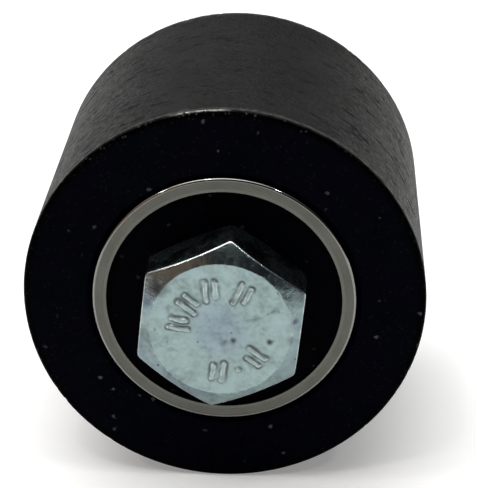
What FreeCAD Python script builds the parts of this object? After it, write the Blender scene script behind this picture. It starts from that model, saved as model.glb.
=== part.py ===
# Cam follower: a roller turns on two sealed ball bearings. A hexagon bolt, a spacer tube, a flat
# washer and a thin nut hold the bearings' inner rings as one stack, and the free thread behind the
# nut fastens the follower to its lever.
#
# Frame, in millimetres: the origin is the roller's centre. +Y runs along the bolt from its head to
# its free thread, and +Z is up. "Front" is the bolt head's side. In each bearing, "outboard" faces
# away from the roller's centre and "inboard" faces towards it.

import FreeCAD
import Part
import math
import os

# Roller
roller_diameter = 33.5
roller_length = 26.8
rim_round = 0.4
seat_lead_in = 0.45
shoulder_height = 1.75

# Bearings, both alike
bearing_diameter = 22.0
bearing_width = 7.0
bearing_proud = 0.1        # how far each ring's face stands out of the roller's end face
outer_ring_corner = 0.3
inner_ring_corner = 0.15
bore_corner = 0.4
ball_share = 0.567         # a ball's diameter over the mean of the bearing's height and width in section
ball_count = 7
ball_clearance = 0.01      # between a ball and each race, at the bottom of the race
race_conformity = 1.04     # a race's radius over a ball's
race_depth = 0.54          # how deep a race lies below its ring's land
front_ball_turn = 0.0      # degrees
rear_ball_turn = 21.0      # degrees

# Cages: two pressed halves, riveted together between the balls
cage_sheet = 0.35
cage_land_room = 0.55      # between the cage and each ring's land
cage_seal_room = 0.2       # between the cage and each seal's lip
pocket_clearance = 0.08
rivet_head_share = 0.65    # a rivet head's diameter over the flat between two pockets
rivet_share = 0.55         # a rivet's diameter over its head's
rivet_head_height = 0.18

# Seals: rubber moulded on a steel core, snapped into a groove in the outer ring
seal_recess = 0.25         # from the ring's face down to the rubber
seal_skin = 0.25           # rubber over the core
seal_core_sheet = 0.3
seal_mouth_wall = 1.25     # outer ring's wall beside the seal
seal_groove_depth = 0.25
seal_groove_width = 0.4
seal_mouth_chamfer = 0.1
seal_lip_width = 0.65
seal_lip_depth = 0.08      # how far the lip reaches past the core
seal_lip_clearance = 0.03

# Bolt
bolt_size = 8.0
thread_pitch = 1.25
free_thread = 17.4         # behind the nut
thread_lead = 0.6          # from the thread's start to the nut
shank_clearance = 0.015    # under the bolt's size, on the radius
thread_allowance = 0.04    # under the bolt's size, on the radius
pitch_line_share = 0.325   # from the bolt's size in to the thread's pitch line, over the pitch
under_head_round = 0.3
thread_end_chamfer = 0.9
head_across_flats = 13.0
head_height = 5.3
head_disc_diameter = 11.6
head_underside_diameter = 12.7
washer_face_diameter = 11.6
washer_face_height = 0.4
head_turn = 23.6           # degrees
corner_slope = 30.0        # degrees, of the cones that trim the hexagons' corners
corner_trim_reach = 0.6    # how far those cones go out, over the hexagon's width across flats

# Nut, washer and spacer
nut_across_flats = 13.0
nut_height = 4.0
nut_disc_diameter = 12.35
nut_mouth_room = 0.2       # between the bolt's size and the nut's mouth, on the radius
nut_turn = 9.0             # degrees
thread_clearance = 0.01
washer_diameter = 16.0
washer_thickness = 1.6
washer_edge = 0.2
washer_clearance = 0.2
spacer_clearance = 0.1
spacer_wall = 1.4
spacer_chamfer = 0.25

# What follows from the sizes above
stack_length = roller_length + 2 * bearing_proud
spacer_length = stack_length - 2 * bearing_width
bearing_place = (stack_length - bearing_width) / 2
half_width = bearing_width / 2
pitch_radius = (bearing_diameter + bolt_size) / 4
ball_radius = ball_share * ((bearing_diameter - bolt_size) / 2 + bearing_width) / 4
race_radius = ball_radius * race_conformity
outer_race_bottom = pitch_radius + ball_radius + ball_clearance
inner_race_bottom = pitch_radius - ball_radius - ball_clearance
outer_land_radius = outer_race_bottom - race_depth
inner_land_radius = inner_race_bottom + race_depth
seal_mouth_radius = bearing_diameter / 2 - seal_mouth_wall
seal_face = half_width - seal_recess
seal_core_face = seal_face - seal_skin
seal_seat = seal_core_face - seal_core_sheet
seal_lip_face = seal_seat - seal_lip_depth
seal_lip_radius = inner_land_radius + seal_lip_clearance
seal_core_bore = seal_lip_radius + seal_lip_width
seal_groove_radius = seal_mouth_radius + seal_groove_depth
seal_groove_end = seal_seat + seal_groove_width
seal_neck = seal_groove_end + seal_groove_depth / 2
pocket_radius = ball_radius + pocket_clearance
pocket_flat = 2 * (pitch_radius * math.sin(math.pi / ball_count) - pocket_radius - cage_sheet)
rivet_head_radius = rivet_head_share * pocket_flat / 2
rivet_radius = rivet_share * rivet_head_radius
shank_radius = bolt_size / 2 - shank_clearance
thread_radius = bolt_size / 2 - thread_allowance
engaged_radius = bolt_size / 2 - pitch_line_share * thread_pitch
head_seat = -stack_length / 2
washer_seat = stack_length / 2
nut_seat = washer_seat + washer_thickness
nut_end = nut_seat + nut_height
thread_start = nut_seat - thread_lead
bolt_end = nut_end + free_thread
whole_turn = 360.0
axis = FreeCAD.Vector(0, 1, 0)
origin = FreeCAD.Vector(0, 0, 0)


def in_section(point):
    """A (radius, y) point as a vector in the section plane."""
    return FreeCAD.Vector(point[0], point[1], 0)


def turned(*corners):
    """A solid turned about Y. Each corner is (radius, y), or (radius, y, round) for a rounded one."""
    count = len(corners)
    edges = []
    ends = []
    for i, corner in enumerate(corners):
        here = in_section(corner)
        if len(corner) == 2:
            ends.append((here, here))
            continue
        before = (in_section(corners[i - 1]) - here).normalize()
        after = (in_section(corners[(i + 1) % count]) - here).normalize()
        half_angle = before.getAngle(after) / 2
        start = here + before * (corner[2] / math.tan(half_angle))
        end = here + after * (corner[2] / math.tan(half_angle))
        bisector = (before + after).normalize()
        middle = here + bisector * (corner[2] / math.sin(half_angle) - corner[2])
        edges.append(Part.Arc(start, middle, end).toShape())
        ends.append((start, end))
    for i in range(count):
        start = ends[i][1]
        end = ends[(i + 1) % count][0]
        if start.distanceToPoint(end) > 1e-7:
            edges.append(Part.LineSegment(start, end).toShape())
    face = Part.Face(Part.Wire(Part.__sortEdges__(edges)))
    return upright(face.revolve(origin, axis, whole_turn))


def upright(shape):
    """The shape with its faces turned outwards."""
    if shape.Volume < 0:
        shape.reverse()
    return shape


def tube(inner_radius, outer_radius, low, high):
    return turned((inner_radius, low), (outer_radius, low), (outer_radius, high), (inner_radius, high))


def rod(radius, low, high):
    return Part.makeCylinder(radius, high - low, FreeCAD.Vector(0, low, 0), axis)


def rod_at(centre, radius, low, high):
    """A rod along Y, its axis through the given centre."""
    return rod(radius, low, high).translated(centre)


def around(place_radius, start_turn, count):
    """Points spaced evenly round the Y axis, the first one turned from +X towards +Z."""
    angles = [math.radians(start_turn + whole_turn * i / count) for i in range(count)]
    return [FreeCAD.Vector(place_radius * math.cos(a), 0, place_radius * math.sin(a)) for a in angles]


def hexagon(across_flats, low, high, turn):
    """A six-sided block along Y, its first corner turned from +X towards +Z."""
    corners = around(across_flats / math.sqrt(3), turn, 6)
    face = Part.Face(Part.makePolygon(corners + corners[:1]))
    return upright(face.extrude(axis * (high - low))).translated(axis * low)


def corner_trim(across_flats, low, low_diameter, high, high_diameter):
    """The double cone that a hexagon is cut to, so that each end is a disc of the given diameter."""
    reach = corner_trim_reach * across_flats
    slope = math.tan(math.radians(corner_slope))
    low_edge = low + (reach - low_diameter / 2) * slope
    high_edge = high - (reach - high_diameter / 2) * slope
    return turned(
        (0, low), (low_diameter / 2, low), (reach, low_edge),
        (reach, high_edge), (high_diameter / 2, high), (0, high),
    )


def flipped(shape):
    """The same turned piece facing the other way along Y."""
    turned_over = shape.copy()
    turned_over.rotate(origin, FreeCAD.Vector(1, 0, 0), 180)
    return turned_over


def placed(shape, y, turn):
    """The shape turned about Y, from +X towards +Z, and moved along Y."""
    copy = shape.copy()
    copy.rotate(origin, -axis, turn)
    copy.translate(axis * y)
    return copy


def roller():
    """Roller with a seat for a bearing at each end and a shoulder between them as long as the spacer."""
    end = roller_length / 2
    seat = spacer_length / 2
    rim = roller_diameter / 2
    seat_radius = bearing_diameter / 2
    mouth = seat_radius + seat_lead_in
    shoulder = seat_radius - shoulder_height
    return turned(
        (rim, -end, rim_round), (rim, end, rim_round),
        (mouth, end), (seat_radius, end - seat_lead_in), (seat_radius, seat),
        (shoulder, seat), (shoulder, -seat),
        (seat_radius, -seat), (seat_radius, seat_lead_in - end), (mouth, -end),
    )


def outer_ring():
    """Outer ring, with its race and a snap-in groove for a seal at each side."""
    side = [
        (outer_land_radius, seal_seat), (seal_groove_radius, seal_seat),
        (seal_groove_radius, seal_groove_end), (seal_mouth_radius, seal_neck),
        (seal_mouth_radius, half_width - seal_mouth_chamfer),
        (seal_mouth_radius + seal_mouth_chamfer, half_width),
        (bearing_diameter / 2, half_width, outer_ring_corner),
    ]
    other_side = [(corner[0], -corner[1], *corner[2:]) for corner in reversed(side)]
    race = Part.makeTorus(outer_race_bottom - race_radius, race_radius, origin, axis)
    return turned(*side, *other_side).cut(race)


def inner_ring():
    """Inner ring, with its race."""
    bore = bolt_size / 2
    blank = turned(
        (bore, half_width - bore_corner), (bore + bore_corner, half_width),
        (inner_land_radius, half_width, inner_ring_corner),
        (inner_land_radius, -half_width, inner_ring_corner),
        (bore + bore_corner, -half_width), (bore, bore_corner - half_width),
    )
    race = Part.makeTorus(inner_race_bottom + race_radius, race_radius, origin, axis)
    return blank.cut(race)


def seal_rubber():
    """Seal rubber on the +Y side: a bead in the ring's groove, a skin over the core and a lip."""
    return turned(
        (seal_lip_radius, seal_lip_face), (seal_core_bore, seal_lip_face),
        (seal_core_bore, seal_core_face),
        (seal_mouth_radius, seal_core_face), (seal_mouth_radius, seal_seat),
        (seal_groove_radius, seal_seat), (seal_groove_radius, seal_groove_end),
        (seal_mouth_radius, seal_neck), (seal_mouth_radius, seal_face), (seal_lip_radius, seal_face),
    )


def seal_core():
    """Pressed steel core on the +Y side, seated on the outer ring's shoulder."""
    return tube(seal_core_bore, seal_mouth_radius, seal_seat, seal_core_face)


def rivet_centres():
    return around(pitch_radius, whole_turn / ball_count / 2, ball_count)


def cage_half():
    """The cage's half on the +Y side: a flat band with a spherical pocket over each ball."""
    inside = inner_land_radius + cage_land_room
    outside = outer_land_radius - cage_land_room
    reach = seal_lip_face - cage_seal_room
    ball_centres = around(pitch_radius, 0, ball_count)
    cage = tube(inside, outside, -cage_sheet, cage_sheet)
    pockets = [Part.makeSphere(pocket_radius + cage_sheet, centre, axis) for centre in ball_centres]
    rooms = [Part.makeSphere(pocket_radius, centre, axis) for centre in ball_centres]
    holes = [rod_at(centre, rivet_radius, -half_width, half_width) for centre in rivet_centres()]
    cage = cage.fuse(pockets).common(tube(inside, outside, 0, reach))
    return cage.cut(rooms).cut(holes).removeSplitter()


def cage_rivets():
    """One rivet between each two balls, headed on both sides."""
    head_reach = cage_sheet + rivet_head_height
    rivets = []
    for centre in rivet_centres():
        rivet = rod_at(centre, rivet_radius, -cage_sheet, cage_sheet)
        heads = [
            rod_at(centre, rivet_head_radius, cage_sheet, head_reach),
            rod_at(centre, rivet_head_radius, -head_reach, -cage_sheet),
        ]
        rivets.append(rivet.fuse(heads).removeSplitter())
    return Part.makeCompound(rivets)


def bearing_parts(name, place, outboard, ball_turn):
    """Every piece of one bearing, by node name. Outboard is 1 if the +Y side faces outwards, or else -1."""
    paired = {"seal": seal_rubber(), "seal_core": seal_core(), "cage_half": cage_half()}
    sides = {1: paired, -1: {piece: flipped(shape) for piece, shape in paired.items()}}
    parts = {
        "outer_ring": outer_ring(),
        "inner_ring": inner_ring(),
        "outboard_seal": sides[outboard]["seal"],
        "outboard_seal_core": sides[outboard]["seal_core"],
        "inboard_seal": sides[-outboard]["seal"],
        "inboard_seal_core": sides[-outboard]["seal_core"],
        "cage_outboard_half": sides[outboard]["cage_half"],
        "cage_inboard_half": sides[-outboard]["cage_half"],
        "cage_rivets": cage_rivets(),
    }
    for i, centre in enumerate(around(pitch_radius, 0, ball_count)):
        parts[f"ball_{i + 1}"] = Part.makeSphere(ball_radius, centre, axis)
    return {f"{name}_{piece}": placed(shape, place, ball_turn) for piece, shape in parts.items()}


def hex_bolt():
    """Bolt with a plain shank through the bearings and a threaded end.

    The thread is as wide as its crests where it is free, and narrows to its pitch line inside the nut.
    """
    head_top = head_seat - head_height
    hexagon_base = head_seat - washer_face_height
    block = hexagon(head_across_flats, head_top, hexagon_base, head_turn)
    trim = corner_trim(
        head_across_flats, head_top, head_disc_diameter, hexagon_base, head_underside_diameter
    )
    head = block.common(trim)
    washer_face = rod(washer_face_diameter / 2, hexagon_base, head_seat)
    shank = turned(
        (0, hexagon_base), (shank_radius + under_head_round, hexagon_base),
        (shank_radius + under_head_round, head_seat), (shank_radius, head_seat, under_head_round),
        (shank_radius, thread_start), (thread_radius, thread_start),
        (thread_radius, nut_seat), (engaged_radius, nut_seat),
        (engaged_radius, nut_end), (thread_radius, nut_end),
        (thread_radius, bolt_end - thread_end_chamfer), (thread_radius - thread_end_chamfer, bolt_end),
        (0, bolt_end),
    )
    return head.fuse([washer_face, shank]).removeSplitter()


def inner_spacer():
    """Tube that holds the two inner rings apart."""
    bore = bolt_size / 2 + spacer_clearance
    outside = bore + spacer_wall
    end = spacer_length / 2
    return turned(
        (bore, -end), (outside - spacer_chamfer, -end), (outside, spacer_chamfer - end),
        (outside, end - spacer_chamfer), (outside - spacer_chamfer, end), (bore, end),
    )


def flat_washer():
    bore = bolt_size / 2 + washer_clearance
    outside = washer_diameter / 2
    return turned(
        (bore, washer_seat), (outside, washer_seat, washer_edge), (outside, nut_seat), (bore, nut_seat),
    )


def jam_nut():
    """Thin nut, both ends trimmed to discs. Its bore is plain, at the thread's pitch line."""
    block = hexagon(nut_across_flats, nut_seat, nut_end, nut_turn)
    trim = corner_trim(nut_across_flats, nut_seat, nut_disc_diameter, nut_end, nut_disc_diameter)
    bore = engaged_radius + thread_clearance
    mouth = bolt_size / 2 + nut_mouth_room
    countersink = mouth - bore
    tapped = turned(
        (0, nut_seat), (mouth, nut_seat), (bore, nut_seat + countersink),
        (bore, nut_end - countersink), (mouth, nut_end), (0, nut_end),
    )
    return block.common(trim).cut(tapped)


def all_parts():
    parts = {
        "roller": roller(),
        "hex_bolt": hex_bolt(),
        "inner_spacer": inner_spacer(),
        "flat_washer": flat_washer(),
        "jam_nut": jam_nut(),
    }
    parts.update(bearing_parts("front", -bearing_place, -1, front_ball_turn))
    parts.update(bearing_parts("rear", bearing_place, 1, rear_ball_turn))
    return parts


os.makedirs("parts", exist_ok=True)
for node, shape in all_parts().items():
    shape.exportStep(f"parts/{node}.step")
    print(f"{node}: {len(shape.Solids)} solid(s), {shape.Volume:.2f} mm3, valid {shape.isValid()}")
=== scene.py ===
import math

import bmesh
import bpy
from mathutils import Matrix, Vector, noise


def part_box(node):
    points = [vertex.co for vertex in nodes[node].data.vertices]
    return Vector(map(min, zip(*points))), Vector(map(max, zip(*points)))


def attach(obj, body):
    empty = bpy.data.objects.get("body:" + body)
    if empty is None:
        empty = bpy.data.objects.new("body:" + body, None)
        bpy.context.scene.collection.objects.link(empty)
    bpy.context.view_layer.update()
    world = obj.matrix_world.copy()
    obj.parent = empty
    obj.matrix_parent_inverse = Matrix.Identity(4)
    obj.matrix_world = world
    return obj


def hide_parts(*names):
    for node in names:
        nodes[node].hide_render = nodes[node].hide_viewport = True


# Cam follower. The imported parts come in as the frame, in metres: +Y runs from the bolt head to the
# free thread, +Z is up. Sizes below are in millimetres and are turned into metres when a mesh is made.
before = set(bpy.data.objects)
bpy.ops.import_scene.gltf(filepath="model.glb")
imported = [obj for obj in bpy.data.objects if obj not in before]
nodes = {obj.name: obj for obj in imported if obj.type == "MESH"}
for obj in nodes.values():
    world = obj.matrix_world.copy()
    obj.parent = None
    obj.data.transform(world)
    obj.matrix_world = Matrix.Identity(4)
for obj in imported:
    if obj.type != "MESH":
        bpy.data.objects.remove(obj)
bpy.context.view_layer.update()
mm = 0.001
fullTurn = 2 * math.pi
rubScale = 40.0  # degrees that count as a fully rubbed edge
mergeGap, slimGap = 1e-7, 1e-8  # metres; nearer points are joined, slimmer faces are dropped
print("frame loaded:", len(nodes), "nodes")


# lowest and highest corner of a node, in millimetres
def boxOf(name):
    low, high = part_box(name)
    return low / mm, high / mm


# corners are (radius, y) or (radius, y, round); a round corner becomes a short arc
def softened(corners, steps, closed=True):
    points = []
    for i, corner in enumerate(corners):
        here = Vector(corner[:2])
        atEnd = not closed and i in (0, len(corners) - 1)
        if len(corner) == 2 or atEnd:
            points.append(here)
            continue
        before = (Vector(corners[i - 1][:2]) - here).normalized()
        after = (Vector(corners[(i + 1) % len(corners)][:2]) - here).normalized()
        half = before.angle(after) / 2
        centre = here + (before + after).normalized() * (corner[2] / math.sin(half))
        start = here + before * (corner[2] / math.tan(half)) - centre
        end = here + after * (corner[2] / math.tan(half)) - centre
        for step in range(steps + 1):
            points.append(centre + start.slerp(end, step / steps) * corner[2])
    return points


countSlack = 1e-6  # keeps rounding from dividing a run once too often


# puts extra points on the long runs of a closed section
def divided(points, longest):
    out = []
    for i, here in enumerate(points):
        out.append(here)
        there = points[(i + 1) % len(points)]
        pieces = math.ceil((there - here).length / longest - countSlack)
        out.extend(here.lerp(there, k / pieces) for k in range(1, pieces))
    return out


# one loop of points round the bolt's axis
def loopAround(count, radius, y):
    points = []
    for i in range(count):
        turn = fullTurn * i / count
        points.append(Vector((radius * math.cos(turn), y, radius * math.sin(turn))))
    return points


def loopsOf(section, count):
    return [loopAround(count, point.x, point.y) for point in section]


# faces between two loops, which may hold different numbers of points
def stripFaces(a, countA, b, countB):
    if countA == countB:
        return [(a + i, a + (i + 1) % countA, b + (i + 1) % countB, b + i) for i in range(countA)]
    if countA == 1:
        return [(a, b + (i + 1) % countB, b + i) for i in range(countB)]
    if countB == 1:
        return [(a + i, a + (i + 1) % countA, b) for i in range(countA)]
    faces = []
    i = j = 0
    while i < countA or j < countB:
        if j >= countB or (i < countA and (i + 1) * countB <= (j + 1) * countA):
            faces.append((a + i % countA, a + (i + 1) % countA, b + j % countB))
            i += 1
        else:
            faces.append((a + i % countA, b + (j + 1) % countB, b + j % countB))
            j += 1
    return faces


# a growing heap of points and faces, in millimetres
class Skin:
    def __init__(self):
        self.points = []
        self.faces = []
        self.finishes = []

    def addLoops(self, loops, finishOf=None, closed=False):
        starts = []
        for loop in loops:
            starts.append(len(self.points))
            self.points.extend(loop)
        pairs = [(i, i + 1) for i in range(len(loops) - 1)]
        if closed:
            pairs.append((len(loops) - 1, 0))
        for i, j in pairs:
            strip = stripFaces(starts[i], len(loops[i]), starts[j], len(loops[j]))
            finish = finishOf(loops[i][0], loops[j][0]) if finishOf else 0
            self.faces.extend(strip)
            self.finishes.extend([finish] * len(strip))

    # a screw thread between two heights; radiusAt gives the radius at a turn and a height
    def addThread(self, low, high, count, radiusAt, samples, finish=0):
        pitch = threadLook["pitch"]
        steps = len(samples)
        turns = math.ceil((high - low) / pitch) + 2
        start = len(self.points)
        for row in range(turns * steps):
            lift = (row // steps - 1 + samples[row % steps]) * pitch
            for i in range(count):
                turn = fullTurn * i / count
                y = threadLook["phase"] + lift - pitch * i / count
                y = min(max(y + math.ceil((low - threadLook["phase"]) / pitch) * pitch, low), high)
                r = radiusAt(turn, y)
                self.points.append(Vector((r * math.cos(turn), y, r * math.sin(turn))))

        # the seam joins each row to the one a whole pitch lower
        def at(row, i):
            if i == count:
                row, i = row - steps, 0
            return start + max(row, 0) * count + i

        for row in range(turns * steps - 1):
            for i in range(count):
                self.faces.append((at(row, i), at(row, i + 1), at(row + 1, i + 1), at(row + 1, i)))
                self.finishes.append(finish)

    def make(self, name, sharp=32, shift=None, dirtAndShadeAt=None):
        mesh = bpy.data.meshes.new(name)
        points = [shift(p) for p in self.points] if shift else self.points
        mesh.from_pydata([p * mm for p in points], [], self.faces)
        if dirtAndShadeAt:
            dirtAndShade = mesh.attributes.new("dirtAndShade", "FLOAT", "POINT")
            dirtAndShade.data.foreach_set("value", [dirtAndShadeAt(p) for p in self.points])
        mesh.polygons.foreach_set("material_index", self.finishes)
        work = bmesh.new()
        work.from_mesh(mesh)
        bmesh.ops.remove_doubles(work, verts=work.verts, dist=mergeGap)
        bmesh.ops.dissolve_degenerate(work, dist=slimGap, edges=work.edges)
        loose = [v for v in work.verts if not v.link_faces]
        bmesh.ops.delete(work, geom=loose, context="VERTS")
        bmesh.ops.recalc_face_normals(work, faces=work.faces)
        openEdges = sum(1 for e in work.edges if len(e.link_faces) != 2)
        volume = work.calc_volume(signed=True) / mm**3
        if volume < 0:
            bmesh.ops.reverse_faces(work, faces=work.faces)
        # how sharply the skin turns outwards at each point, for the rubbed edges
        rub = work.verts.layers.float.new("rub")
        for v in work.verts:
            v[rub] = math.degrees(sum(e.calc_face_angle_signed(0.0) for e in v.link_edges)) / rubScale
        work.to_mesh(mesh)
        work.free()
        mesh.polygons.foreach_set("use_smooth", [True] * len(mesh.polygons))
        mesh.set_sharp_from_angle(angle=math.radians(sharp))
        made = bpy.data.objects.new(name, mesh)
        bpy.context.scene.collection.objects.link(made)
        print(f"  {name}: {len(mesh.vertices)} points, {openEdges} open edges, {abs(volume):.1f} mm3")
        return made


# starts a node group; sockets are (name, kind) or (name, kind, value)
def newGroup(name, inputs, outputs):
    group = bpy.data.node_groups.new(name, "ShaderNodeTree")
    for socket in inputs:
        made = group.interface.new_socket(socket[0], in_out="INPUT", socket_type=f"NodeSocket{socket[1]}")
        if len(socket) > 2:
            made.default_value = socket[2]
    for socket in outputs:
        group.interface.new_socket(socket[0], in_out="OUTPUT", socket_type=f"NodeSocket{socket[1]}")
    return group, group.nodes.new("NodeGroupInput"), group.nodes.new("NodeGroupOutput")


# adds a node to a tree; a value is a number, a tuple or another node's socket
def put(tree, kind, values=None, **settings):
    node = tree.nodes.new(kind)
    for key, value in settings.items():
        setattr(node, key, value)
    for key, value in (values or {}).items():
        if isinstance(value, bpy.types.NodeSocket):
            tree.links.new(value, node.inputs[key])
        else:
            node.inputs[key].default_value = value
    return node


def calc(tree, operation, a, b, clamp=False):
    return put(tree, "ShaderNodeMath", {0: a, 1: b}, operation=operation, use_clamp=clamp).outputs[0]


# a smooth step from 0 to 1 as the value goes from low to high
def smoothStep(tree, value, low, high, fromValue=0.0, toValue=1.0):
    return put(tree, "ShaderNodeMapRange", {
        "Value": value, "From Min": low, "From Max": high, "To Min": fromValue, "To Max": toValue,
    }, interpolation_type="SMOOTHSTEP").outputs["Result"]


# adds up values, each times its own share
def mixture(tree, *parts):
    total = None
    for value, share in parts:
        part = calc(tree, "MULTIPLY", value, share)
        total = part if total is None else calc(tree, "ADD", total, part)
    return total


# a colour between two others
def blend(tree, share, first, second):
    node = put(tree, "ShaderNodeMix", data_type="RGBA")
    for socket, value in ((node.inputs[0], share), (node.inputs[6], first), (node.inputs[7], second)):
        if isinstance(value, bpy.types.NodeSocket):
            tree.links.new(value, socket)
        else:
            socket.default_value = value
    return node.outputs[2]


# the object's own coordinates in millimetres
def placeIn(tree):
    place = put(tree, "ShaderNodeTexCoord").outputs["Object"]
    return put(tree, "ShaderNodeVectorMath", {0: place, 3: 1 / mm}, operation="SCALE").outputs[0]


# where a point lies round and along a turned piece, in millimetres
def buildTurnedPlace():
    group, _, given = newGroup("turnedPlace", [], [
        ("Radius", "Float"), ("Along", "Float"), ("Across X", "Float"), ("Across Z", "Float"),
    ])
    parts = put(group, "ShaderNodeSeparateXYZ", {0: placeIn(group)}).outputs
    flat = put(group, "ShaderNodeCombineXYZ", {0: parts[0], 2: parts[2]}).outputs[0]
    radius = put(group, "ShaderNodeVectorMath", {0: flat}, operation="LENGTH").outputs["Value"]
    for name, value in (("Radius", radius), ("Along", parts[1]),
                        ("Across X", calc(group, "DIVIDE", parts[0], radius)),
                        ("Across Z", calc(group, "DIVIDE", parts[2], radius))):
        group.links.new(value, given.inputs[name])
    return group


linesLook = {"bandFineness": 0.22, "roughness": 0.6}


# fine lines left by a turning or grinding tool, broken up along their length, and wider bands like them
def buildTurnedLines():
    group, taken, given = newGroup("turnedLines", [
        ("Lines", "Float", 8.0), ("Sweep", "Float", 6.0), ("Detail", "Float", 4.0), ("Seed", "Float", 0.0),
    ], [("Lines", "Float"), ("Bands", "Float")])
    where = put(group, "ShaderNodeGroup", node_tree=turnedPlace).outputs
    depth = calc(group, "ADD", where["Radius"], where["Along"])
    for name, fineness in (("Lines", 1.0), ("Bands", linesLook["bandFineness"])):
        spread = calc(group, "MULTIPLY", taken.outputs["Sweep"], fineness)
        vector = put(group, "ShaderNodeCombineXYZ", {
            0: calc(group, "MULTIPLY", where["Across X"], spread),
            1: calc(group, "MULTIPLY", depth, calc(group, "MULTIPLY", taken.outputs["Lines"], fineness)),
            2: calc(group, "MULTIPLY", where["Across Z"], spread),
        }).outputs[0]
        value = put(group, "ShaderNodeTexNoise", {
            "Vector": vector, "W": taken.outputs["Seed"], "Scale": 1.0, "Detail": taken.outputs["Detail"],
            "Roughness": linesLook["roughness"],
        }, noise_dimensions="4D").outputs[0]
        group.links.new(value, given.inputs[name])
    return group


mottleLook = {"middle": 0.5, "roughness": 0.58}


# cloudy change of tone, from 0 to 1
def buildMottle():
    group, taken, given = newGroup("mottle", [
        ("Spots Per mm", "Float", 1.0), ("Contrast", "Float", 0.3), ("Detail", "Float", 5.0),
        ("Seed", "Float", 0.0),
    ], [("Tone", "Float")])
    value = put(group, "ShaderNodeTexNoise", {
        "Vector": placeIn(group), "W": taken.outputs["Seed"], "Scale": taken.outputs["Spots Per mm"],
        "Detail": taken.outputs["Detail"], "Roughness": mottleLook["roughness"],
    }, noise_dimensions="4D").outputs[0]
    low = calc(group, "SUBTRACT", mottleLook["middle"], taken.outputs["Contrast"])
    high = calc(group, "ADD", mottleLook["middle"], taken.outputs["Contrast"])
    group.links.new(smoothStep(group, value, low, high), given.inputs["Tone"])
    return group


# sizes and strengths vary from cell to cell, and the outlines are bitten by a finer noise
specksLook = {
    "seedStep": 7.31, "smallest": 0.35, "bitesPerCell": 4.0, "biteDetail": 4.0, "bite": 0.5, "core": 0.45,
    "faintest": 0.3, "strengthRange": 0.7,
}


# scattered small specks of dust, pits or sparkles
def buildSpecks():
    look = specksLook
    group, taken, given = newGroup("specks", [
        ("Cells Per mm", "Float", 1.5), ("Share", "Float", 0.2), ("Size", "Float", 0.16),
        ("Seed", "Float", 0.0),
    ], [("Specks", "Float")])
    place = placeIn(group)
    apart = calc(group, "MULTIPLY", taken.outputs["Seed"], look["seedStep"])
    moved = put(group, "ShaderNodeVectorMath", {0: place, 1: apart}, operation="ADD").outputs[0]
    cells = put(group, "ShaderNodeTexVoronoi", {
        "Vector": moved, "Scale": taken.outputs["Cells Per mm"],
    }).outputs
    pick = put(group, "ShaderNodeSeparateColor", {0: cells["Color"]}).outputs
    chosen = calc(group, "LESS_THAN", pick[0], taken.outputs["Share"])
    size = calc(group, "MULTIPLY", taken.outputs["Size"], calc(group, "ADD", pick[1], look["smallest"]))
    ragged = put(group, "ShaderNodeTexNoise", {
        "Vector": place, "Detail": look["biteDetail"],
        "Scale": calc(group, "MULTIPLY", taken.outputs["Cells Per mm"], look["bitesPerCell"]),
    }).outputs[0]
    bite = calc(group, "MULTIPLY", calc(group, "SUBTRACT", ragged, 0.5), look["bite"])
    reach = calc(group, "ADD", cells["Distance"], bite)
    edge = smoothStep(group, reach, size, calc(group, "MULTIPLY", size, look["core"]))
    strength = calc(group, "MULTIPLY", pick[2], look["strengthRange"])
    strength = calc(group, "MULTIPLY", calc(group, "ADD", strength, look["faintest"]), edge)
    group.links.new(calc(group, "MULTIPLY", strength, chosen, clamp=True), given.inputs["Specks"])
    return group


wearLook = {
    "patchesPerMm": 1.7, "patchDetail": 4.0, "goneFrom": (0.62, 0.38),
    "creviceDirtAndShadeFrom": (-0.1, -0.9), "creviceDirtAndShadeKept": (0.35, 0.6, 0.1, 0.5),
}


# edges rubbed bright, and the corners darkened with dirt and painted shade, broken up by noise; the bright
# edges serve as wear, and on the roller's tread and rim also as painted highlights
def buildEdgeWearAndPaintedLight():
    group, taken, given = newGroup("edgeWearAndPaintedLight", [
        ("Start", "Float", 0.2), ("End", "Float", 0.7), ("Breakup", "Float", 0.5), ("Seed", "Float", 0.0),
    ], [("Wear", "Float"), ("Crevice", "Float")])
    turn = put(group, "ShaderNodeAttribute", attribute_name="rub").outputs["Fac"]
    dirtAndShade = put(group, "ShaderNodeAttribute", attribute_name="dirtAndShade").outputs["Fac"]
    rub = smoothStep(group, turn, taken.outputs["Start"], taken.outputs["End"])
    patch = put(group, "ShaderNodeTexNoise", {
        "Vector": placeIn(group), "W": taken.outputs["Seed"], "Scale": wearLook["patchesPerMm"],
        "Detail": wearLook["patchDetail"],
    }, noise_dimensions="4D").outputs[0]
    gone = calc(group, "MULTIPLY", smoothStep(group, patch, *wearLook["goneFrom"]), taken.outputs["Breakup"])
    wear = calc(group, "MULTIPLY", rub, calc(group, "SUBTRACT", 1.0, gone), clamp=True)
    group.links.new(wear, given.inputs["Wear"])
    kept = smoothStep(group, patch, *wearLook["creviceDirtAndShadeKept"])
    crevice = calc(group, "MULTIPLY", smoothStep(group, turn, *wearLook["creviceDirtAndShadeFrom"]), kept)
    group.links.new(calc(group, "MAXIMUM", crevice, dirtAndShade), given.inputs["Crevice"])
    return group


turnedPlace = buildTurnedPlace()
groups = {
    "turnedLines": buildTurnedLines(), "mottle": buildMottle(), "specks": buildSpecks(),
    "edgeWearAndPaintedLight": buildEdgeWearAndPaintedLight(),
}


# places a shared group with this material's own values
def effect(tree, name, **values):
    node = tree.nodes.new("ShaderNodeGroup")
    node.node_tree = groups[name]
    for key, value in values.items():
        node.inputs[key.replace("_", " ")].default_value = value
    return node.outputs


# a new material with its Principled shader; fixed values go on the shader's own sockets
def newFinish(name, **fixed):
    material = bpy.data.materials.new(name)
    material.use_nodes = True
    tree = material.node_tree
    shader = tree.nodes["Principled BSDF"]
    for key, value in fixed.items():
        shader.inputs[key.replace("_", " ")].default_value = value
    return material, tree, shader


def feed(tree, shader, **values):
    for key, value in values.items():
        tree.links.new(value, shader.inputs[key.replace("_", " ")])


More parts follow.
